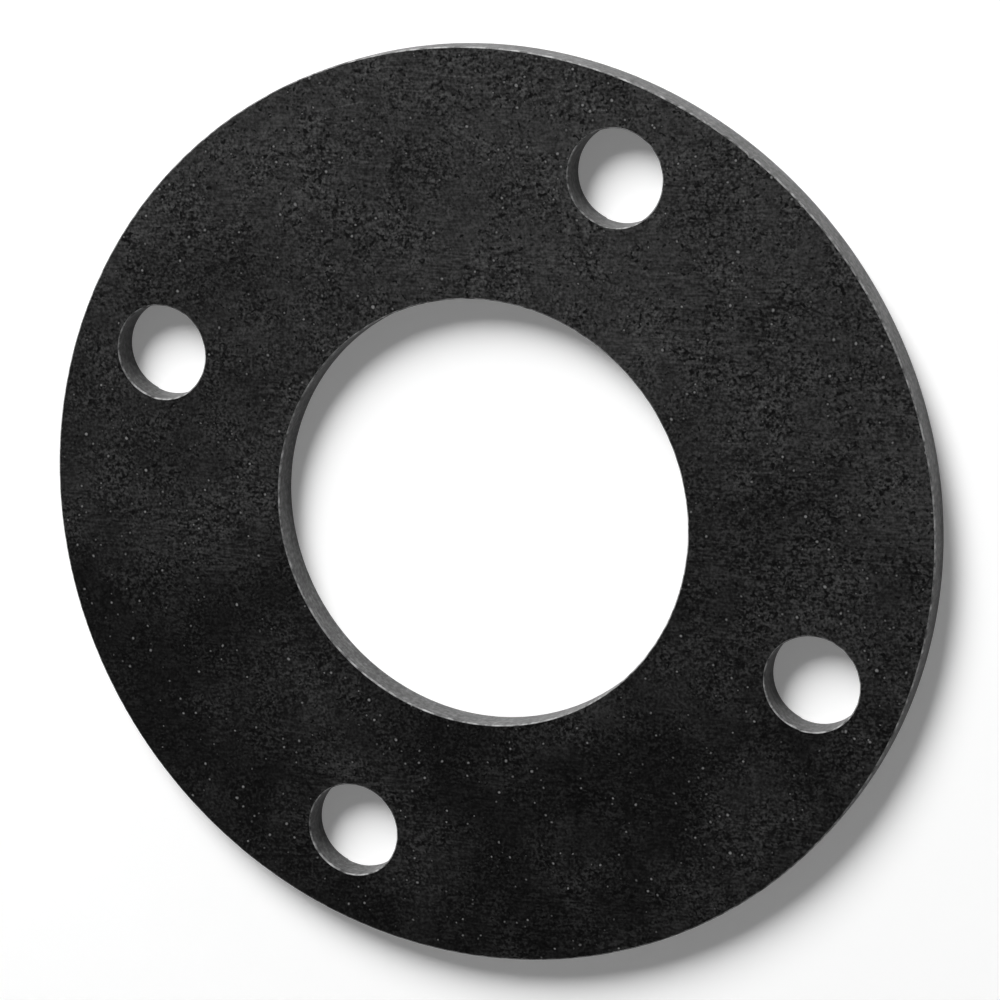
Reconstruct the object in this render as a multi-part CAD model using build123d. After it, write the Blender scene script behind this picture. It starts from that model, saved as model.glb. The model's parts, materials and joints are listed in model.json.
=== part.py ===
from build123d import *
import os

# A full-face flange gasket, cut in one piece from flat rubber sheet. It is
# clamped between two bolted pipe flanges and seals the whole of their faces.
# All sizes are in millimetres. The back lies on Z = 0 with the bore on the Z
# axis, and the face that the cutter entered looks up.

# Sheet
sheet_thickness = 6.35

# Bore, which matches the outside of the pipe
bore_diameter = 88.9

# Bolt holes for 5/8 inch bolts, evenly spaced on their circle and set astride
# the X and Y axes. The cutter leaves them 25/32 inch across in thick rubber,
# which is as wide as the standard's 3/4 inch may be.
bolt_circle_diameter = 152.4
bolt_hole_diameter = 19.844
bolt_hole_count = 4
first_bolt_hole_angle = 45

# Rubber left between each bolt hole and the rim, which sets the outer size:
# 190.5 across, the same as the flange
rim_web = 9.128
outer_diameter = bolt_circle_diameter + bolt_hole_diameter + 2 * rim_web

# The cutter drags the rubber down as it enters the face, so every cut edge is
# softly rounded there. It comes out of the back square.
face_edge_radius = 0.25


def gasket_outline():
    """The flat shape that is cut from the sheet: rim, bore and bolt holes."""
    with BuildSketch() as outline:
        Circle(outer_diameter / 2)
        Circle(bore_diameter / 2, mode=Mode.SUBTRACT)
        with PolarLocations(
            bolt_circle_diameter / 2, bolt_hole_count, start_angle=first_bolt_hole_angle
        ):
            Circle(bolt_hole_diameter / 2, mode=Mode.SUBTRACT)
    return outline.sketch


def cut_gasket():
    """The outline cut through the sheet, with its face edges rounded."""
    with BuildPart() as gasket:
        add(gasket_outline())
        extrude(amount=sheet_thickness)
        face_edges = gasket.edges().group_by(Axis.Z)[-1]
        fillet(face_edges, face_edge_radius)
    return gasket.part


os.makedirs("parts", exist_ok=True)
export_step(cut_gasket(), "parts/gasket.step")
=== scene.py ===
import json
import math

import bpy
from mathutils import Matrix, Quaternion, Vector


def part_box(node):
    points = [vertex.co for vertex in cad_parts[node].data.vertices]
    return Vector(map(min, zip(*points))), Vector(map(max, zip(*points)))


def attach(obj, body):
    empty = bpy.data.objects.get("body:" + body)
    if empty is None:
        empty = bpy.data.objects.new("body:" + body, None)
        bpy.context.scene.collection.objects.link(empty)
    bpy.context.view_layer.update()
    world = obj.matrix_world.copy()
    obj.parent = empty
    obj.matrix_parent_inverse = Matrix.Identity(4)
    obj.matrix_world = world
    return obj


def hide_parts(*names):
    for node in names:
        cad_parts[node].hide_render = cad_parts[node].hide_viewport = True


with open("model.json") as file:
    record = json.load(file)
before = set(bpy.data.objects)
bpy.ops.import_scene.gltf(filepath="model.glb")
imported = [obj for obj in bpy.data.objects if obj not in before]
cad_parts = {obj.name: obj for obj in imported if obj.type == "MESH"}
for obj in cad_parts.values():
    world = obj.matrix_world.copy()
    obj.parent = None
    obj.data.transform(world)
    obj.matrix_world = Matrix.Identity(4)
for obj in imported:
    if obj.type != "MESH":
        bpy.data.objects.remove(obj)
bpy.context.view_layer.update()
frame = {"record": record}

mm = 0.001  # the scene is in metres


def linearColour(hexColour):
    # sRGB hex, as a paint chart gives it, to the linear colour that Blender wants
    channels = [int(hexColour[i:i + 2], 16) / 255 for i in (1, 3, 5)]
    return [c / 12.92 if c <= 0.04045 else ((c + 0.055) / 1.055) ** 2.4 for c in channels] + [1.0]


def addNode(tree, kind, inputs=(), **settings):
    # an input takes a number, a colour, a node's first output or a chosen output socket
    node = tree.nodes.new(kind)
    for name, value in settings.items():
        setattr(node, name, value)
    for name, value in dict(inputs).items():
        if isinstance(value, bpy.types.Node):
            value = value.outputs[0]
        if isinstance(value, bpy.types.NodeSocket):
            tree.links.new(value, node.inputs[name])
        else:
            node.inputs[name].default_value = value
    return node


# Sizes, all from the frame

nodeLow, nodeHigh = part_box("gasket")
mounts = {m["name"]: m for m in frame["record"]["mounts"]}
boltPattern = mounts["bolt_holes"]["dims"]

gasketSize = {
    "Outer Radius": (nodeHigh.x - nodeLow.x) / 2,
    "Thickness": nodeHigh.z - nodeLow.z,
    "Bore Radius": mounts["bore"]["dims"]["r_mm"] * mm,
    "Bolt Circle Radius": boltPattern["pcd_mm"] / 2 * mm,
    "Bolt Hole Radius": boltPattern["hole_r_mm"] * mm,
    "Bolt Hole Count": boltPattern["count"],
    "First Hole Angle": math.radians(45),  # the holes sit astride the axes
}

print("frame loaded: sheet", round(gasketSize["Thickness"] / mm, 3), "mm thick")


# Materials
#
# Each field is an uneven pattern from 0 to 1. It swings over its width, or over its length
# along its turn (degrees from X towards Y). Its start says which part of the noise it shows,
# and low and high are the noise that counts as 0 and as 1. All lengths are in mm.

weftAzimuth = -22  # degrees from X towards Y, the way the press cloth's weft ran

pressedSheet = {
    "freshColour": "#0e0e0e",    # carbon-black rubber, clean and away from the painted sheen
    "hazeAndSheenColour": "#2e2e2e",  # the same, paler with painted sheen and hazed by bloom and talc
    "roughness": 0.55,
    "ior": 1.5,
    "specular": 0.15,            # the fine grain shades most of the sheen away
    "sheenAzimuth": 58,          # degrees from X towards Y, where the painted sheen and the haze are strongest
    "sheenReach": 75,            # from the middle to the strongest painted sheen and haze
    "hazeAndSheenClouds": 0.7,          # how far the clouds shift the painted sheen and haze
    "fields": {
        # where the haze and painted sheen are strong or weak, started so that the left side is the darker
        # one
        "clouds": {"width": 30.0, "start": 2097, "low": 0.3, "high": 0.7, "detail": 2.0},
        # the cloth's threads are about 0.3 apart, and the grain is drawn twice as coarse to show
        "fine": {"width": 0.6, "start": 31},
        "coarse": {"width": 1.26, "start": 17},
        "streaks": {"width": 0.48, "length": 3.2, "turn": weftAzimuth, "start": 41},
        "ribs": {"width": 1.1, "length": 5.0, "turn": weftAzimuth + 90, "start": 53},
        "stains": {"width": 5.5, "start": 23, "detail": 2.0},
        # where the sheet is rough, and where streaks and ribs show
        "roughPatches": {"width": 8.0, "start": 63, "low": 0.36, "high": 0.64, "detail": 2.0},
        "streakPatches": {
            "width": 16.0, "length": 40.0, "turn": weftAzimuth, "start": 71, "low": 0.25, "high": 0.62,
        },
        "ribPatches": {"width": 18.0, "start": 97, "low": 0.5, "high": 0.64},
    },
    "strengths": {"fine": 0.85, "coarse": 0.4, "streaks": 0.5, "ribs": 0.26, "stains": 0.13},
    "calmGrain": 0.55,           # how much of the grain there is in the calmest patches
    "roughGrain": 1.3,           # and in the roughest
    "grainHeight": 0.03,         # from the hollows to the high spots
    "grainContrast": 75.0,       # how many times paler a high spot is than a hollow, partly own tone and partly painted shade and highlight
    "cleanGrain": 1.7,           # how much more the grain shows on clean rubber than through the haze and painted sheen
    "pitWidth": 0.95,            # drawn coarse to show, as the grain is
    "pitStart": (83.0, 29.0, 11.0),
    "pitLevel": 0.40,            # noise below this is a pit
    "pitSlope": 0.1,             # and this much lower its middle
    "pitCalm": 0.04,             # what the calmest patches add to the noise, for fewer pits
    "pitRough": -0.03,           # and the roughest, for more
    "pitDepth": 0.03,
    "pitPaintedShade": 0.95,            # how much darker the middle of a pit is, as painted shade
    "speckSpacing": 1.9,         # between the places where grains of talc can lie
    "speckStart": (57.0, 57.0, 0),
    "speckRadius": 0.4,          # the largest, coarser than real talc so that they show
    "speckSmallest": 0.4,        # times the largest
    "speckFaintest": 0.2,        # times the brightest
    "speckShare": 0.7,           # of the places, how many hold one
    "speckCalm": 0.4,            # times this in the calmest patches
    "speckRough": 1.6,           # and this in the roughest
    "speckRagged": 0.25,         # how far the coarse grain eats into its outline
    "speckColour": "#a2a2a2",
    "hollowSpread": 2.4,         # the hollow round a speck, darkened with painted shade, times its radius
    "hollowPaintedShade": 0.7,
    "lineSpacing": 9.0,          # between hairlines, where there are any
    "lineLength": 26.0,
    "lineWidth": 0.3,            # a real scratch is finer, but would not show
    "lineTurn": 5,               # degrees that they run off the weft
    "lineSlant": 0.7,            # spacings that the most slanted one climbs in a line length
    "lineShortest": 0.1,         # half of the shortest and the longest, in line lengths
    "lineLongest": 0.42,
    "scratchStart": 13,
    "scratchShare": 0.13,        # of the places, how many hold one
    "scratchShade": 0.8,         # how much paler a hairline scratch is than the skin
    "creaseStart": 37,
    "creaseShare": 0.13,
    "creasePaintedShade": 0.5,          # how much darker a fine crease is, as painted shade
}

cutRubber = {
    "colour": "#474747",         # a fresh cut scatters light, so it looks far paler than the face
    "roughness": 0.5,
    "ior": 1.5,
    "contrast": 30.0,            # how many times paler the palest mark is than the darkest
    "fields": {
        "ticks": {"width": 0.7, "start": 5, "detail": 3.0},    # upright marks that the blade left
        "flecks": {"width": 0.9, "start": 8, "detail": 3.0},   # small tears
        "drawn": {"width": 0.55, "start": 15, "detail": 2.0},  # streaks that it drew along the wall
        "broad": {"width": 7.0, "start": 51, "detail": 2.0},
        "tickPatches": {"width": 12.0, "start": 33, "low": 0.4, "high": 0.6},
        "lipLengths": {"width": 2.0, "start": 21, "low": 0.4, "high": 0.68, "detail": 3.0},
    },
    "stretches": {               # how quickly a stretched field changes along X, Y and Z
        "ticks": (1, 1, 0.12),
        "drawn": (0.1, 0.1, 1),
    },
    "strengths": {"ticks": 0.3, "flecks": 0.9, "drawn": 0.4, "broad": 0.35},
    "reliefDepth": 0.05,
    "lipHighlightColour": "#a4a4a4",      # painted highlight along the lip where the cut meets the face
    "lipHeight": 0.42,
    "lipCrest": 0.3,             # share of that height that is fully pale
    "lipFootSwing": 0.5,              # how far the palest fleck lengthens it
    "lipFootSwingMiddle": 0.2,        # taken off again, so that a usual one leaves it about as it is
    "backPaintedShade": 0.72,           # painted shade along the back edge beside the wall, as a tone
    "backHeight": 0.8,
    "lagShade": 0.3,             # how the tone drifts round a hole, from where its cut began
}

offLattice = 0.25  # mm, so that the back at Z = 0 doesn't run through the points where noise is flat


def startMaterial(name):
    material = bpy.data.materials.new(name)
    material.use_nodes = True
    tree = material.node_tree
    tree.nodes.clear()
    return material, tree


def unevenness(tree, place, width, start, length=None, turn=0.0, low=0.2, high=0.8, detail=1.0):
    spot = addNode(tree, "ShaderNodeMapping", {
        "Vector": place, "Location": (start, 2 * start, offLattice),
        "Rotation": (0, 0, math.radians(turn)), "Scale": (length or width, width, width),
    }, vector_type="TEXTURE")
    noise = addNode(tree, "ShaderNodeTexNoise", {
        "Vector": spot, "Scale": 1.0, "Detail": detail, "Roughness": 0.55,
    })
    return addNode(tree, "ShaderNodeMapRange", {"Value": noise, "From Min": low, "From Max": high})


def layOver(tree, level, field, amount, where):
    # adds a field's swing about its middle, as strong as the amount and the place say
    swing = addNode(tree, "ShaderNodeMath", {0: field, 1: 0.5}, operation="SUBTRACT")
    there = addNode(tree, "ShaderNodeMath", {0: swing, 1: where}, operation="MULTIPLY")
    return addNode(tree, "ShaderNodeMath", {0: there, 1: amount, 2: level}, operation="MULTIPLY_ADD")


def contrasted(tree, level, contrast, shoulder=0.4):
    # from a level about 0.5 to a tone about 1, with the palest tones held back by the shoulder
    middle = addNode(tree, "ShaderNodeMath", {0: level, 1: 0.5}, operation="SUBTRACT")
    tone = addNode(tree, "ShaderNodeMath", {0: contrast, 1: middle}, operation="POWER")
    raised = addNode(tree, "ShaderNodeMath", {0: tone, 1: 1 + shoulder}, operation="MULTIPLY")
    held = addNode(tree, "ShaderNodeMath", {0: tone, 1: shoulder, 2: 1.0}, operation="MULTIPLY_ADD")
    return addNode(tree, "ShaderNodeMath", {0: raised, 1: held}, operation="DIVIDE")


def hairlines(tree, place, start, share):
    # straight thin marks, one at most in each long cell, at their own slant and length
    look = pressedSheet
    spot = addNode(tree, "ShaderNodeMapping", {
        "Vector": place, "Location": (start, 2 * start, 0),
        "Rotation": (0, 0, math.radians(weftAzimuth + look["lineTurn"])),
        "Scale": (look["lineLength"], look["lineSpacing"], 1.0),
    }, vector_type="TEXTURE")
    cells = addNode(tree, "ShaderNodeTexVoronoi", {"Vector": spot, "Scale": 1.0}, voronoi_dimensions="2D")
    lot = addNode(tree, "ShaderNodeSeparateColor", {0: cells.outputs["Color"]})
    inCell = addNode(tree, "ShaderNodeVectorMath", {
        0: spot, 1: cells.outputs["Position"],
    }, operation="SUBTRACT")
    across = addNode(tree, "ShaderNodeSeparateXYZ", {0: inCell})
    slant = addNode(tree, "ShaderNodeMapRange", {
        "Value": lot.outputs["Green"], "To Min": -look["lineSlant"], "To Max": look["lineSlant"],
    })
    slanted = addNode(tree, "ShaderNodeMath", {
        0: across.outputs["X"], 1: slant, 2: across.outputs["Y"],
    }, operation="MULTIPLY_ADD")
    line = addNode(tree, "ShaderNodeMapRange", {
        "Value": addNode(tree, "ShaderNodeMath", {0: slanted}, operation="ABSOLUTE"),
        "From Max": look["lineWidth"] / look["lineSpacing"], "To Min": 1.0, "To Max": 0.0,
    }, interpolation_type="SMOOTHSTEP")
    reach = addNode(tree, "ShaderNodeMapRange", {
        "Value": lot.outputs["Blue"], "To Min": look["lineShortest"], "To Max": look["lineLongest"],
    })
    ends = addNode(tree, "ShaderNodeMapRange", {
        "Value": addNode(tree, "ShaderNodeMath", {0: across.outputs["X"]}, operation="ABSOLUTE"),
        "From Max": reach, "To Min": 1.0, "To Max": 0.0,
    }, interpolation_type="SMOOTHSTEP")
    drawn = addNode(tree, "ShaderNodeMath", {0: line, 1: ends}, operation="MULTIPLY")
    chosen = addNode(tree, "ShaderNodeMath", {0: lot, 1: share}, operation="LESS_THAN")
    return addNode(tree, "ShaderNodeMath", {0: drawn, 1: chosen}, operation="MULTIPLY")


def pressedSheetRubber():
    # Nitrile sheet, cured in a press against cloth: a dull black skin, paler towards one side with
    # haze and painted sheen, a fine irregular grain that is its own mottle with painted shade in its
    # hollows and painted highlight on its high spots, calm and rough patches, streaks and ribs of
    # the weave, small pits and fine creases darkened with painted shade, pale grains of talc in
    # hollows of painted shade, and a few hairline scratches.
    look = pressedSheet
    material, tree = startMaterial("pressedNitrileSheet")
    place = addNode(tree, "ShaderNodeTexCoord").outputs["Object"]
    inMm = addNode(tree, "ShaderNodeVectorMath", {0: place, "Scale": 1 / mm}, operation="SCALE")
    field = {name: unevenness(tree, inMm, **numbers) for name, numbers in look["fields"].items()}

    # grain: 0 in the hollows, 0.5 on the skin between them and 1 on the high spots; its tone is partly the
    # rubber's own mottle and partly painted shade in the hollows and painted highlight on the high spots
    patches = field["roughPatches"]
    roughness = addNode(tree, "ShaderNodeMapRange", {
        "Value": patches, "To Min": look["calmGrain"], "To Max": look["roughGrain"],
    })
    grain = 0.5
    for name, where in (
        ("fine", roughness), ("coarse", roughness), ("streaks", field["streakPatches"]),
        ("ribs", field["ribPatches"]), ("stains", 1.0),
    ):
        grain = layOver(tree, grain, field[name], look["strengths"][name], where)

    # pits: 1 in the middle of each, crowded where the sheet is rough; their middles are darkened with
    # painted shade
    pitNoise = addNode(tree, "ShaderNodeTexNoise", {
        "Vector": addNode(tree, "ShaderNodeVectorMath", {0: inMm, 1: look["pitStart"]}, operation="ADD"),
        "Scale": 1 / look["pitWidth"], "Detail": 1.0, "Roughness": 0.5,
    })
    crowding = addNode(tree, "ShaderNodeMapRange", {
        "Value": patches, "To Min": look["pitCalm"], "To Max": look["pitRough"],
    })
    crowded = addNode(tree, "ShaderNodeMath", {0: pitNoise, 1: crowding}, operation="ADD")
    pit = addNode(tree, "ShaderNodeMapRange", {
        "Value": crowded, "From Min": look["pitLevel"], "From Max": look["pitLevel"] - look["pitSlope"],
    }, interpolation_type="SMOOTHSTEP")

    # talc: a pale speck in a small hollow of painted shade, some bright and some faint
    shifted = addNode(tree, "ShaderNodeVectorMath", {0: inMm, 1: look["speckStart"]}, operation="ADD")
    cells = addNode(tree, "ShaderNodeTexVoronoi", {"Vector": shifted, "Scale": 1 / look["speckSpacing"]})
    lot = addNode(tree, "ShaderNodeSeparateColor", {0: cells.outputs["Color"]})
    share = addNode(tree, "ShaderNodeMapRange", {
        "Value": patches, "To Min": look["speckCalm"] * look["speckShare"],
        "To Max": look["speckRough"] * look["speckShare"],
    })
    chosen = addNode(tree, "ShaderNodeMath", {0: lot, 1: share}, operation="LESS_THAN")
    size = addNode(tree, "ShaderNodeMapRange", {
        "Value": lot.outputs["Green"],
        "To Min": look["speckSmallest"] * look["speckRadius"] / look["speckSpacing"],
        "To Max": look["speckRadius"] / look["speckSpacing"],
    })
    brightness = addNode(tree, "ShaderNodeMapRange", {
        "Value": lot.outputs["Blue"], "To Min": look["speckFaintest"], "To Max": 1.0,
    })
    ragged = layOver(tree, cells.outputs["Distance"], field["coarse"], look["speckRagged"], 1.0)
    speck, hollow = [
        addNode(tree, "ShaderNodeMath", {0: chosen, 1: addNode(tree, "ShaderNodeMapRange", {
            "Value": ragged, "To Min": strength, "To Max": 0.0,
            "From Max": addNode(tree, "ShaderNodeMath", {0: size, 1: spread}, operation="MULTIPLY"),
        }, interpolation_type="SMOOTHSTEP")}, operation="MULTIPLY")
        for spread, strength in ((1.0, brightness), (look["hollowSpread"], look["hollowPaintedShade"]))
    ]

    # haze and painted sheen: 0 on clean rubber and 1 where they are strongest, paler towards one side
    a = math.radians(look["sheenAzimuth"])
    towardsSheen = addNode(tree, "ShaderNodeVectorMath", {
        0: inMm, 1: (math.cos(a), math.sin(a), 0),
    }, operation="DOT_PRODUCT")
    slope = addNode(tree, "ShaderNodeMapRange", {
        "Value": towardsSheen.outputs["Value"],
        "From Min": -look["sheenReach"], "From Max": look["sheenReach"],
    })
    clouded = layOver(tree, slope, field["clouds"], look["hazeAndSheenClouds"], 1.0)
    hazeAndSheen = addNode(tree, "ShaderNodeClamp", {"Value": clouded})
    # the skin's colour, paler with the painted sheen and haze
    skinWithSheen = addNode(tree, "ShaderNodeMix", {
        0: hazeAndSheen, "A": linearColour(look["freshColour"]), "B": linearColour(look["hazeAndSheenColour"]),
    }, data_type="RGBA")

    scratches = hairlines(tree, inMm, look["scratchStart"], look["scratchShare"])
    creases = hairlines(tree, inMm, look["creaseStart"], look["creaseShare"])
    clearness = addNode(tree, "ShaderNodeMapRange", {
        "Value": hazeAndSheen, "To Min": look["cleanGrain"], "To Max": 1.0,
    })
    shade = contrasted(tree, layOver(tree, 0.5, grain, clearness, 1.0), look["grainContrast"])
    # pits, creases and the hollows round specks darken the tone as painted shade; scratches make it paler
    for mark, change in (
        (scratches, look["scratchShade"]), (creases, -look["creasePaintedShade"]),
        (pit, -look["pitPaintedShade"]), (hollow, -1.0),
    ):
        changed = addNode(tree, "ShaderNodeMath", {0: mark, 1: change, 2: 1.0}, operation="MULTIPLY_ADD")
        shade = addNode(tree, "ShaderNodeMath", {0: shade, 1: changed}, operation="MULTIPLY")
    shaded = addNode(tree, "ShaderNodeVectorMath", {
        0: skinWithSheen.outputs["Result"], "Scale": shade,
    }, operation="SCALE")
    specked = addNode(tree, "ShaderNodeMix", {
        0: speck, "A": shaded, "B": linearColour(look["speckColour"]),
    }, data_type="RGBA")

    flatGrain = addNode(tree, "ShaderNodeMath", {0: grain, 1: look["grainHeight"]}, operation="MULTIPLY")
    height = addNode(tree, "ShaderNodeMath", {
        0: pit, 1: -look["pitDepth"], 2: flatGrain,
    }, operation="MULTIPLY_ADD")
    bump = addNode(tree, "ShaderNodeBump", {"Height": height, "Distance": mm, "Strength": 1.0})
    shader = addNode(tree, "ShaderNodeBsdfPrincipled", {
        "Base Color": specked.outputs["Result"], "Roughness": look["roughness"], "IOR": look["ior"],
        "Specular IOR Level": look["specular"], "Normal": bump,
    })
    addNode(tree, "ShaderNodeOutputMaterial", {"Surface": shader})
    return material


def cutSheetRubber():
    # The same rubber where a cutter went through it: a satin grey wall with short upright
    # marks of the blade, small torn flecks, a broken painted highlight along the lip at the face,
    # painted shade along the back edge, and a change of tone where each hole's cut began and ended.
    look = cutRubber
    material, tree = startMaterial("cutNitrileWall")
    place = addNode(tree, "ShaderNodeTexCoord").outputs["Object"]
    inMm = addNode(tree, "ShaderNodeVectorMath", {0: place, "Scale": 1 / mm}, operation="SCALE")
    height = addNode(tree, "ShaderNodeSeparateXYZ", {0: inMm}).outputs["Z"]
    face = gasketSize["Thickness"] / mm
    field = {}
    for name, numbers in look["fields"].items():
        spot = inMm
        if name in look["stretches"]:
            spot = addNode(tree, "ShaderNodeVectorMath", {
                0: inMm, 1: look["stretches"][name],
            }, operation="MULTIPLY")
        field[name] = unevenness(tree, spot, **numbers)

    # marks: 0 where darkest and 1 where palest
    marks = 0.5
    for name, where in (("ticks", field["tickPatches"]), ("flecks", 1.0), ("drawn", 1.0), ("broad", 1.0)):
        marks = layOver(tree, marks, field[name], look["strengths"][name], where)
    tone = contrasted(tree, marks, look["contrast"])
    lag = addNode(tree, "ShaderNodeAttribute", attribute_name="cutLag").outputs["Fac"]
    # painted shade along the back edge, then the tone's drift round each hole
    for shade in (
        addNode(tree, "ShaderNodeMapRange", {
            "Value": height, "From Max": look["backHeight"], "To Min": look["backPaintedShade"], "To Max": 1.0,
        }, interpolation_type="SMOOTHSTEP"),
        addNode(tree, "ShaderNodeMapRange", {
            "Value": lag, "To Min": 1 + look["lagShade"] / 2, "To Max": 1 - look["lagShade"] / 2,
        }),
    ):
        tone = addNode(tree, "ShaderNodeMath", {0: tone, 1: shade}, operation="MULTIPLY")
    wall = addNode(tree, "ShaderNodeVectorMath", {
        0: linearColour(look["colour"])[:3], "Scale": tone,
    }, operation="SCALE")

    # the painted highlight is broken off in places and reaches further down in others, so its foot isn't
    # level
    raggedHeight = addNode(tree, "ShaderNodeMath", {
        0: field["flecks"], 1: look["lipFootSwing"], 2: height,
    }, operation="MULTIPLY_ADD")
    lipZone = addNode(tree, "ShaderNodeMapRange", {
        "Value": raggedHeight,
        "From Min": face - look["lipHeight"] + look["lipFootSwingMiddle"],
        "From Max": face - look["lipCrest"] * look["lipHeight"] + look["lipFootSwingMiddle"],
    }, interpolation_type="SMOOTHSTEP")
    lipHighlight = addNode(tree, "ShaderNodeMath", {0: lipZone, 1: field["lipLengths"]}, operation="MULTIPLY")
    # the painted highlight laid over the wall's colour
    base = addNode(tree, "ShaderNodeMix", {
        0: lipHighlight, "A": wall, "B": linearColour(look["lipHighlightColour"]),
    }, data_type="RGBA")

    relief = addNode(tree, "ShaderNodeMath", {0: field["ticks"], 1: field["flecks"]}, operation="ADD")
    bump = addNode(tree, "ShaderNodeBump", {
        "Height": relief, "Distance": look["reliefDepth"] * mm, "Strength": 1.0,
    })
    shader = addNode(tree, "ShaderNodeBsdfPrincipled", {
        "Base Color": base.outputs["Result"], "Roughness": look["roughness"], "IOR": look["ior"],
        "Normal": bump,
    })
    addNode(tree, "ShaderNodeOutputMaterial", {"Surface": shader})
    return material


sheetMaterial = pressedSheetRubber()
wallMaterial = cutSheetRubber()
print("materials made:", sheetMaterial.name, "and", wallMaterial.name)


# The gasket, by Geometry Nodes

cutEdge = {
    "Face Roll": 0.25 * mm,            # the cutter drags the face down as it enters
    "Back Roll": 0.1 * mm,
    "Rim Bow": 0.05 * mm,              # the long outer cut stands proud at half its depth
    "Chatter Depth": 0.04 * mm,        # height of the blade's marks on a cut wall
    "Chatter Width": 1.6,              # mm between them
    "Start Angle": math.radians(233),  # where the cutter went into each bolt hole and came out
    "Start Step": 0.12 * mm,           # how far it had drifted by then
    "Start Slant": 0.03,               # turns that this step leans, from the face to the back
    "Nick Angle": math.radians(30.7),
    "Nick Depth": 0.4 * mm,            # a slip of the knife at the rim
    "Nick Width": 0.008,               # radians
    "Seed": 7.0,
}
edgeSteps = {
    "rollRows": 5,
    "wallRows": 9,
    "backRows": 3,
    "rimSegments": 1440,
    "boreSegments": 720,
    "boltHoleSegments": 192,
}


def startTree(name, numbers):
    # numbers maps each named input to its default, a whole number making a whole-number input
    tree = bpy.data.node_groups.new(name, "GeometryNodeTree")
    for label, default in numbers.items():
        kind = "NodeSocketInt" if isinstance(default, int) else "NodeSocketFloat"
        socket = tree.interface.new_socket(label, in_out="INPUT", socket_type=kind)
        socket.default_value = default
    tree.interface.new_socket("Geometry", in_out="OUTPUT", socket_type="NodeSocketGeometry")
    return tree, tree.nodes.new("NodeGroupInput").outputs


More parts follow.
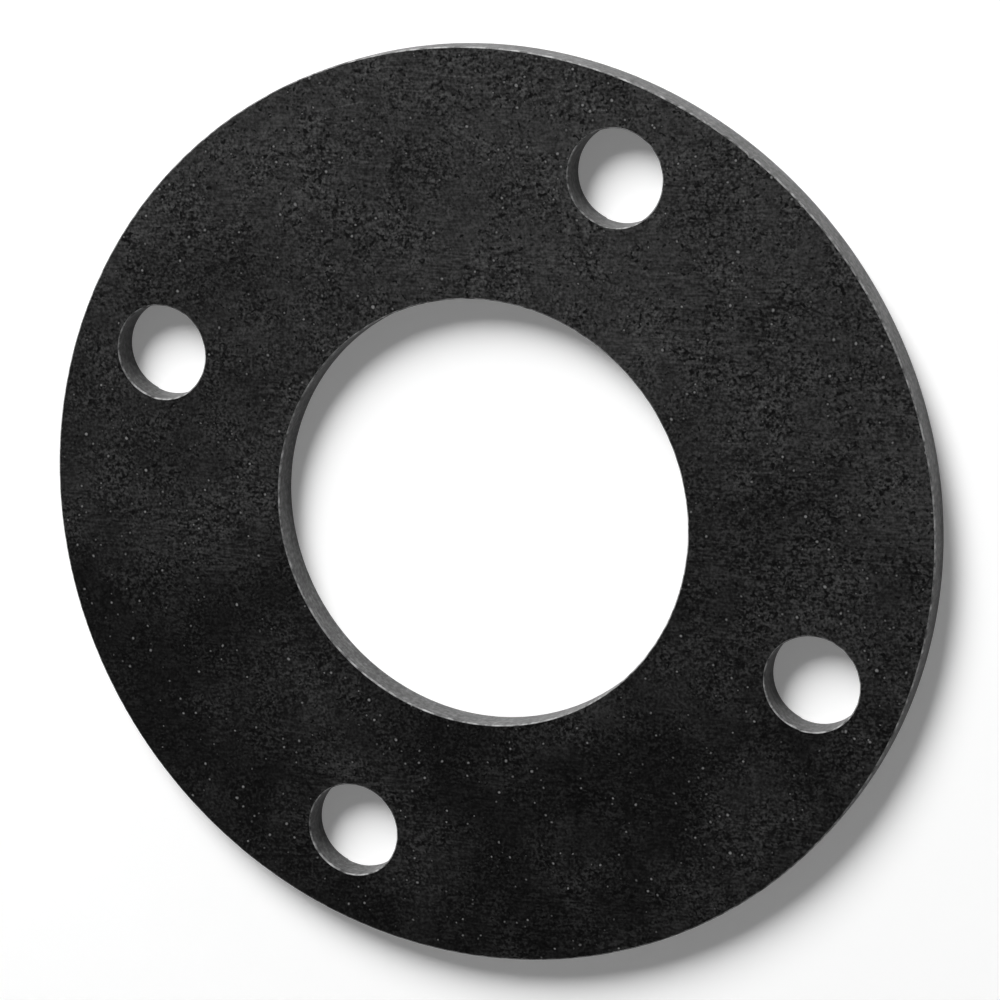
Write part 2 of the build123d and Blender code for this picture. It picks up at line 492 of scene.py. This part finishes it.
def cutBandTree():
    # One band of cut wall round the Z axis, rolled over at the face and a little at the back.
    # Side is 1 where the rubber lies inside the cut, as at the rim, and -1 round an opening.
    tree, given = startTree("cutBand", {
        "Radius": 0.05, "Side": 1.0, "Segments": 360, "Thickness": 0.006, "Bow": 0.0,
        "Face Roll": 0.0004, "Back Roll": 0.0002, "Chatter Depth": 0.0, "Chatter Width": 1.5,
        "Start Mark": 0.0, "Start Angle": 4.0, "Start Step": 0.0001, "Start Slant": 0.0,
        "Nick Angle": 0.5, "Nick Depth": 0.0, "Nick Width": 0.01, "Seed": 0.0,
    })
    rows = edgeSteps["rollRows"] + edgeSteps["wallRows"] + edgeSteps["backRows"]
    rollEnd = edgeSteps["rollRows"] / rows
    backStart = 1 - edgeSteps["backRows"] / rows

    # A flat square of faces, whose X becomes the way round the cut and whose Y the way down it
    columns = addNode(tree, "ShaderNodeMath", {0: given["Segments"], 1: 1.0}, operation="ADD")
    grid = addNode(tree, "GeometryNodeMeshGrid", {
        "Size X": 1.0, "Size Y": 1.0, "Vertices X": columns, "Vertices Y": rows + 1,
    })
    spot = addNode(tree, "ShaderNodeSeparateXYZ", {0: addNode(tree, "GeometryNodeInputPosition")})
    around = addNode(tree, "ShaderNodeMapRange", {
        "Value": spot.outputs["X"], "From Min": -0.5, "From Max": 0.5, "To Max": math.tau,
    })
    down = addNode(tree, "ShaderNodeMath", {0: 0.5, 1: spot.outputs["Y"]}, operation="SUBTRACT")

    # Section of the cut: a quarter turn at the face, the wall, and a quarter turn at the back
    faceTurn = addNode(tree, "ShaderNodeMapRange", {
        "Value": down, "From Max": rollEnd, "To Max": math.pi / 2,
    })
    wallDown = addNode(tree, "ShaderNodeMapRange", {
        "Value": down, "From Min": rollEnd, "From Max": backStart,
    })
    backTurn = addNode(tree, "ShaderNodeMapRange", {
        "Value": down, "From Min": backStart, "From Max": 1.0, "To Max": math.pi / 2,
    })
    faceArc = addNode(tree, "ShaderNodeVectorRotate", {
        "Vector": addNode(tree, "ShaderNodeCombineXYZ", {"Z": given["Face Roll"]}), "Angle": faceTurn,
    }, rotation_type="Y_AXIS")
    backArc = addNode(tree, "ShaderNodeVectorRotate", {
        "Vector": addNode(tree, "ShaderNodeCombineXYZ", {"X": given["Back Roll"]}), "Angle": backTurn,
    }, rotation_type="Y_AXIS")
    rolls = addNode(tree, "ShaderNodeMath", {
        0: given["Face Roll"], 1: given["Back Roll"],
    }, operation="ADD")
    wallLength = addNode(tree, "ShaderNodeMath", {0: given["Thickness"], 1: rolls}, operation="SUBTRACT")
    wallDrop = addNode(tree, "ShaderNodeMath", {0: wallLength, 1: wallDown}, operation="MULTIPLY")
    topCentre = addNode(tree, "ShaderNodeMath", {
        0: given["Thickness"], 1: given["Face Roll"],
    }, operation="SUBTRACT")
    height = addNode(tree, "ShaderNodeMath", {0: topCentre, 1: wallDrop}, operation="SUBTRACT")
    fromMiddle = addNode(tree, "ShaderNodeMapRange", {"Value": wallDown, "To Min": -1.0, "To Max": 1.0})
    bowShape = addNode(tree, "ShaderNodeMath", {0: fromMiddle, 1: 2.0}, operation="POWER")
    bowIn = addNode(tree, "ShaderNodeMath", {0: bowShape, 1: given["Bow"]}, operation="MULTIPLY")

    # Blade marks: upright ridges, from noise that changes quickly round the cut and slowly down it
    downRate = 0.15
    onCut = addNode(tree, "ShaderNodeVectorRotate", {
        "Vector": addNode(tree, "ShaderNodeCombineXYZ", {"X": given["Radius"], "Z": height}),
        "Angle": around,
    }, rotation_type="Z_AXIS")
    markPlace = addNode(tree, "ShaderNodeVectorMath", {
        0: onCut, 1: (1 / mm, 1 / mm, downRate / mm),
    }, operation="MULTIPLY")
    markScale = addNode(tree, "ShaderNodeMath", {0: 1.0, 1: given["Chatter Width"]}, operation="DIVIDE")
    marks = addNode(tree, "ShaderNodeTexNoise", {
        "Vector": markPlace, "W": given["Seed"], "Scale": markScale, "Detail": 2.0,
    }, noise_dimensions="4D")
    chatter = addNode(tree, "ShaderNodeMath", {0: marks, 1: given["Chatter Depth"]}, operation="MULTIPLY")

    # Where a cut begins and ends: the cutter drifts as it goes round, and steps back at the end
    fromStart = addNode(tree, "ShaderNodeMath", {0: around, 1: given["Start Angle"]}, operation="SUBTRACT")
    turns = addNode(tree, "ShaderNodeMath", {0: fromStart, 1: 1 / math.tau}, operation="MULTIPLY")
    leaning = addNode(tree, "ShaderNodeMath", {
        0: down, 1: given["Start Slant"], 2: turns,
    }, operation="MULTIPLY_ADD")
    wholeLag = addNode(tree, "ShaderNodeMath", {0: leaning}, operation="FRACT")
    lag = addNode(tree, "ShaderNodeMix", {
        0: given["Start Mark"], "A": 0.5, "B": wholeLag,
    }, data_type="FLOAT")
    drift = addNode(tree, "ShaderNodeMath", {0: lag, 1: given["Start Step"]}, operation="MULTIPLY")
    marked = addNode(tree, "ShaderNodeMath", {
        0: drift, 1: given["Start Mark"], 2: chatter,
    }, operation="MULTIPLY_ADD")
    # both go into the rubber at the rim, and stand into an opening
    inwards = addNode(tree, "ShaderNodeMath", {0: marked, 1: given["Side"]}, operation="MULTIPLY")

    # Nick in the upper half of the rim's wall
    fromNick = addNode(tree, "ShaderNodeMath", {0: around, 1: given["Nick Angle"]}, operation="SUBTRACT")
    offNick = addNode(tree, "ShaderNodeMath", {0: fromNick}, operation="ABSOLUTE")
    nickAcross = addNode(tree, "ShaderNodeMapRange", {
        "Value": offNick, "From Max": given["Nick Width"], "To Min": 1.0, "To Max": 0.0,
    }, interpolation_type="SMOOTHSTEP")
    nickDown = addNode(tree, "ShaderNodeMapRange", {
        "Value": down, "From Min": rollEnd, "From Max": (rollEnd + backStart) / 2,
        "To Min": 1.0, "To Max": 0.0,
    })
    nickShape = addNode(tree, "ShaderNodeMath", {0: nickAcross, 1: nickDown}, operation="MULTIPLY")
    cutIn = addNode(tree, "ShaderNodeMath", {
        0: nickShape, 1: given["Nick Depth"], 2: inwards,
    }, operation="MULTIPLY_ADD")

    # The section at its radius, swung round the axis
    inset = addNode(tree, "ShaderNodeMath", {0: bowIn, 1: cutIn}, operation="ADD")
    shift = addNode(tree, "ShaderNodeMath", {0: inset, 1: rolls}, operation="ADD")
    sectionShift = addNode(tree, "ShaderNodeCombineXYZ", {
        "X": addNode(tree, "ShaderNodeMath", {0: shift, 1: -1.0}, operation="MULTIPLY"), "Z": height,
    })
    arcs = addNode(tree, "ShaderNodeVectorMath", {0: faceArc, 1: backArc}, operation="ADD")
    section = addNode(tree, "ShaderNodeVectorMath", {0: arcs, 1: sectionShift}, operation="ADD")
    sideways = addNode(tree, "ShaderNodeCombineXYZ", {"X": given["Side"], "Y": 1.0, "Z": 1.0})
    sided = addNode(tree, "ShaderNodeVectorMath", {0: section, 1: sideways}, operation="MULTIPLY")
    atRadius = addNode(tree, "ShaderNodeVectorMath", {
        0: sided, 1: addNode(tree, "ShaderNodeCombineXYZ", {"X": given["Radius"]}),
    }, operation="ADD")
    placed = addNode(tree, "ShaderNodeVectorRotate", {
        "Vector": atRadius, "Angle": around,
    }, rotation_type="Z_AXIS")
    band = addNode(tree, "GeometryNodeSetPosition", {"Geometry": grid, "Position": placed})
    inward = addNode(tree, "FunctionNodeCompare", {0: given["Side"], 1: 0.0}, operation="LESS_THAN")
    facing = addNode(tree, "GeometryNodeFlipFaces", {"Mesh": band, "Selection": inward})
    smooth = addNode(tree, "GeometryNodeSetShadeSmooth", {"Geometry": facing})
    lagged = addNode(tree, "GeometryNodeStoreNamedAttribute", {
        "Geometry": smooth, "Name": "cutLag", "Value": lag,
    }, data_type="FLOAT", domain="POINT")
    tagged = addNode(tree, "GeometryNodeStoreNamedAttribute", {
        "Geometry": lagged, "Name": "onCut", "Value": True,
    }, data_type="BOOLEAN", domain="FACE")
    addNode(tree, "NodeGroupOutput", {"Geometry": tagged})
    return tree


def gasketTree(bandTree):
    tree, given = startTree("sheetGasket", {**gasketSize, **cutEdge})
    shared = {name: given[name] for name in (
        "Thickness", "Face Roll", "Back Roll", "Chatter Depth", "Chatter Width", "Start Angle",
        "Start Step", "Start Slant", "Nick Angle", "Nick Width", "Seed",
    )}
    rim = addNode(tree, "GeometryNodeGroup")
    bore = addNode(tree, "GeometryNodeGroup")
    boltHole = addNode(tree, "GeometryNodeGroup")
    for band, own in (
        (rim, {"Radius": given["Outer Radius"], "Side": 1.0, "Segments": edgeSteps["rimSegments"],
               "Bow": given["Rim Bow"], "Nick Depth": given["Nick Depth"]}),
        (bore, {"Radius": given["Bore Radius"], "Side": -1.0, "Segments": edgeSteps["boreSegments"]}),
        (boltHole, {"Radius": given["Bolt Hole Radius"], "Side": -1.0,
                    "Segments": edgeSteps["boltHoleSegments"], "Start Mark": 1.0}),
    ):
        band.node_tree = bandTree
        for label, value in {**shared, **own}.items():
            if isinstance(value, bpy.types.NodeSocket):
                tree.links.new(value, band.inputs[label])
            else:
                band.inputs[label].default_value = value

    # The bolt holes, one on each point of the bolt circle
    circle = addNode(tree, "GeometryNodeMeshCircle", {
        "Vertices": given["Bolt Hole Count"], "Radius": given["Bolt Circle Radius"],
    })
    turned = addNode(tree, "GeometryNodeTransform", {
        "Geometry": circle,
        "Rotation": addNode(tree, "ShaderNodeCombineXYZ", {"Z": given["First Hole Angle"]}),
    })
    holes = addNode(tree, "GeometryNodeInstanceOnPoints", {"Points": turned, "Instance": boltHole})
    realHoles = addNode(tree, "GeometryNodeRealizeInstances", {"Geometry": holes})
    walls = addNode(tree, "GeometryNodeJoinGeometry", {"Geometry": rim})
    tree.links.new(bore.outputs[0], walls.inputs[0])
    tree.links.new(realHoles.outputs[0], walls.inputs[0])
    closedWalls = addNode(tree, "GeometryNodeMergeByDistance", {
        "Geometry": walls, "Distance": 1e-7,  # where a wall's two ends meet
    })

    # Face and back fill the loops where the walls end
    position = addNode(tree, "GeometryNodeInputPosition")
    height = addNode(tree, "ShaderNodeSeparateXYZ", {0: position}).outputs["Z"]
    neighbours = addNode(tree, "GeometryNodeInputMeshEdgeNeighbors")
    onLoop = addNode(tree, "FunctionNodeCompare", {2: neighbours, 3: 1}, data_type="INT", operation="EQUAL")
    halfway = addNode(tree, "ShaderNodeMath", {0: given["Thickness"], 1: 0.5}, operation="MULTIPLY")
    above = addNode(tree, "FunctionNodeCompare", {0: height, 1: halfway}, operation="GREATER_THAN")
    flat = {}
    for name, sense in (("face", "AND"), ("back", "NIMPLY")):
        loop = addNode(tree, "FunctionNodeBooleanMath", {0: onLoop, 1: above}, operation=sense)
        curve = addNode(tree, "GeometryNodeMeshToCurve", {"Mesh": closedWalls, "Selection": loop})
        flat[name] = addNode(tree, "GeometryNodeFillCurve", {"Curve": curve})
    lift = addNode(tree, "ShaderNodeCombineXYZ", {"Z": given["Thickness"]})
    face = addNode(tree, "GeometryNodeTransform", {"Geometry": flat["face"], "Translation": lift})
    back = addNode(tree, "GeometryNodeFlipFaces", {"Mesh": flat["back"]})
    flats = addNode(tree, "GeometryNodeJoinGeometry", {"Geometry": face})
    tree.links.new(back.outputs[0], flats.inputs[0])
    flatShaded = addNode(tree, "GeometryNodeSetShadeSmooth", {"Geometry": flats, "Shade Smooth": False})

    everything = addNode(tree, "GeometryNodeJoinGeometry", {"Geometry": closedWalls})
    tree.links.new(flatShaded.outputs[0], everything.inputs[0])
    closed = addNode(tree, "GeometryNodeMergeByDistance", {
        "Geometry": everything, "Distance": 1e-6,  # where face and back meet the walls
    })
    onCut = addNode(tree, "GeometryNodeInputNamedAttribute", {"Name": "onCut"}, data_type="BOOLEAN")
    real = addNode(tree, "GeometryNodeRealizeInstances", {"Geometry": closed})
    sheeted = addNode(tree, "GeometryNodeSetMaterial", {"Geometry": real, "Material": sheetMaterial})
    dressed = addNode(tree, "GeometryNodeSetMaterial", {
        "Geometry": sheeted, "Selection": onCut.outputs["Attribute"], "Material": wallMaterial,
    })
    addNode(tree, "NodeGroupOutput", {"Geometry": dressed})
    return tree


def makeGasket():
    tree = gasketTree(cutBandTree())
    draft = bpy.data.objects.new("gasketDraft", bpy.data.meshes.new("gasketDraft"))
    bpy.context.scene.collection.objects.link(draft)
    modifier = draft.modifiers.new("sheetGasket", "NODES")
    modifier.node_group = tree
    for item in tree.interface.items_tree:
        if item.in_out == "INPUT":
            modifier[item.identifier] = {**gasketSize, **cutEdge}[item.name]
    evaluated = draft.evaluated_get(bpy.context.evaluated_depsgraph_get())
    mesh = bpy.data.meshes.new_from_object(evaluated)
    mesh.name = "sheetGasket"
    draft.modifiers.remove(modifier)
    bpy.data.objects.remove(draft)
    piece = bpy.data.objects.new("sheetGasket", mesh)
    bpy.context.scene.collection.objects.link(piece)
    return piece


gasket = makeGasket()
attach(gasket, "root")
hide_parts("gasket")
print("gasket made:", len(gasket.data.polygons), "faces")


# Studio: a white sweep, one soft lamp and a weak even fill

studio = {
    "floorRadius": 2.0,   # m
    "coveRadius": 0.8,    # m
    "coveSteps": 12,
    "sides": 96,
    "floorColour": "#f8f8f8",
    "cameraGlow": 0.17,   # what the sweep shows the camera beyond its own light
    "fill": 0.045,
    "keyWatts": 93,
    "keySize": 1.3,       # m
    "keyDistance": 2.4,   # m
    "keyAzimuth": 91,     # degrees from X towards Y
    "keyElevation": 33.5,
}


def direction(azimuth, elevation):
    a, e = math.radians(azimuth), math.radians(elevation)
    return Vector((math.cos(a) * math.cos(e), math.sin(a) * math.cos(e), math.sin(e)))


def makeSweep():
    # floor and backdrop in one, turned round the Z axis
    material, tree = startMaterial("whiteStudioSweep")
    rays = addNode(tree, "ShaderNodeLightPath").outputs
    seen = addNode(tree, "ShaderNodeMath", {
        0: rays["Is Camera Ray"], 1: rays["Is Glossy Ray"],
    }, operation="MAXIMUM")
    shown = addNode(tree, "ShaderNodeMath", {0: seen, 1: rays["Is Transmission Ray"]}, operation="MAXIMUM")
    glow = addNode(tree, "ShaderNodeMath", {0: shown, 1: studio["cameraGlow"]}, operation="MULTIPLY")
    shader = addNode(tree, "ShaderNodeBsdfPrincipled", {
        "Base Color": linearColour(studio["floorColour"]), "Roughness": 1.0, "Specular IOR Level": 0.0,
        "Emission Color": (1, 1, 1, 1), "Emission Strength": glow,
    })
    addNode(tree, "ShaderNodeOutputMaterial", {"Surface": shader})

    steps, sides = studio["coveSteps"], studio["sides"]
    section = [(studio["floorRadius"], 0.0)]
    for i in range(1, steps + 1):
        turn = math.pi / 2 * i / steps
        section.append((
            studio["floorRadius"] + studio["coveRadius"] * math.sin(turn),
            studio["coveRadius"] * (1 - math.cos(turn)),
        ))
    points = [(0, 0, 0)]
    faces = []
    for r, z in section:
        for k in range(sides):
            points.append((r * math.cos(math.tau * k / sides), r * math.sin(math.tau * k / sides), z))
    for k in range(sides):
        faces.append((0, 1 + k, 1 + (k + 1) % sides))
        for i in range(steps):
            low, high = 1 + i * sides, 1 + (i + 1) * sides
            faces.append((low + k, high + k, high + (k + 1) % sides, low + (k + 1) % sides))
    mesh = bpy.data.meshes.new("studioSweep")
    mesh.from_pydata(points, [], faces)
    mesh.materials.append(material)
    mesh.shade_smooth()
    sweep = bpy.data.objects.new("studioSweep", mesh)
    bpy.context.scene.collection.objects.link(sweep)
    return sweep


def makeLights():
    lamp = bpy.data.lights.new("keyLamp", "AREA")
    lamp.shape = "DISK"
    lamp.size = studio["keySize"]
    lamp.energy = studio["keyWatts"]
    key = bpy.data.objects.new("keyLamp", lamp)
    towards = direction(studio["keyAzimuth"], studio["keyElevation"])
    key.location = towards * studio["keyDistance"]
    key.rotation_euler = towards.to_track_quat("Z", "Y").to_euler()
    bpy.context.scene.collection.objects.link(key)

    world = bpy.data.worlds.new("evenFill")
    world.use_nodes = True
    sky = world.node_tree.nodes["Background"].inputs
    sky["Color"].default_value = (1, 1, 1, 1)
    sky["Strength"].default_value = studio["fill"]
    bpy.context.scene.world = world


makeSweep()
makeLights()
print("studio set")


# Camera

view = {
    "target": Vector((5.46, 1.46, 6.35)) * mm,
    "distance": 796.89 * mm,
    "azimuth": 11.882,    # degrees from X towards Y
    "elevation": 65.27,
    "roll": 122.357,      # the photograph is turned this far from level
    "lens": 141.611,      # mm
    "sensorWidth": 36,    # mm
    "clipStart": 0.01,    # m
}


def makeCamera():
    lens = bpy.data.cameras.new("camera")
    lens.sensor_fit = "HORIZONTAL"
    lens.sensor_width = view["sensorWidth"]
    lens.lens = view["lens"]
    lens.clip_start = view["clipStart"]
    camera = bpy.data.objects.new("camera", lens)
    back = direction(view["azimuth"], view["elevation"])
    level = back.to_track_quat("Z", "Y")
    turned = level @ Quaternion((0, 0, 1), -math.radians(view["roll"]))
    place = Matrix.Translation(view["target"] + back * view["distance"])
    camera.matrix_world = place @ turned.to_matrix().to_4x4()
    bpy.context.scene.collection.objects.link(camera)
    bpy.context.scene.camera = camera


makeCamera()
bpy.context.scene.view_settings.view_transform = "Standard"
print("camera set")
